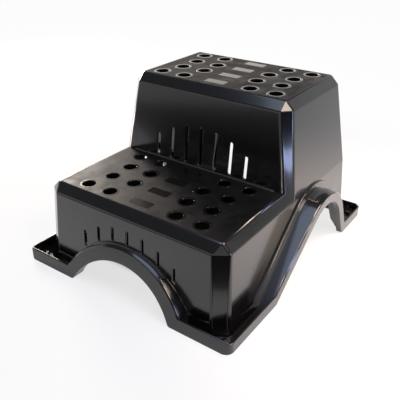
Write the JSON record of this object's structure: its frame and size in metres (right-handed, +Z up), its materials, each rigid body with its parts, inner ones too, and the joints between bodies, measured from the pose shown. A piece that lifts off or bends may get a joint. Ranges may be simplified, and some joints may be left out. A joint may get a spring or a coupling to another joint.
{
  "type": "caravan entry step",
  "caption": "Free-standing moulded double step with pierced treads, slotted risers, arched sides and lipped corner feet, for climbing into a caravan.",
  "frame": {"origin": "on the ground, under the middle of the footprint", "axes": "+Z up, the front of the step faces -Y, +X to the right as seen by someone facing the front"},
  "size_m": [0.53, 0.62, 0.365],
  "materials": {
    "moulded_plastic": "black, glossy walls and fine matt grain on the treads"
  },
  "bodies": {
    "root": {"step_moulding": "moulded_plastic"}
  },
  "joints": []
}
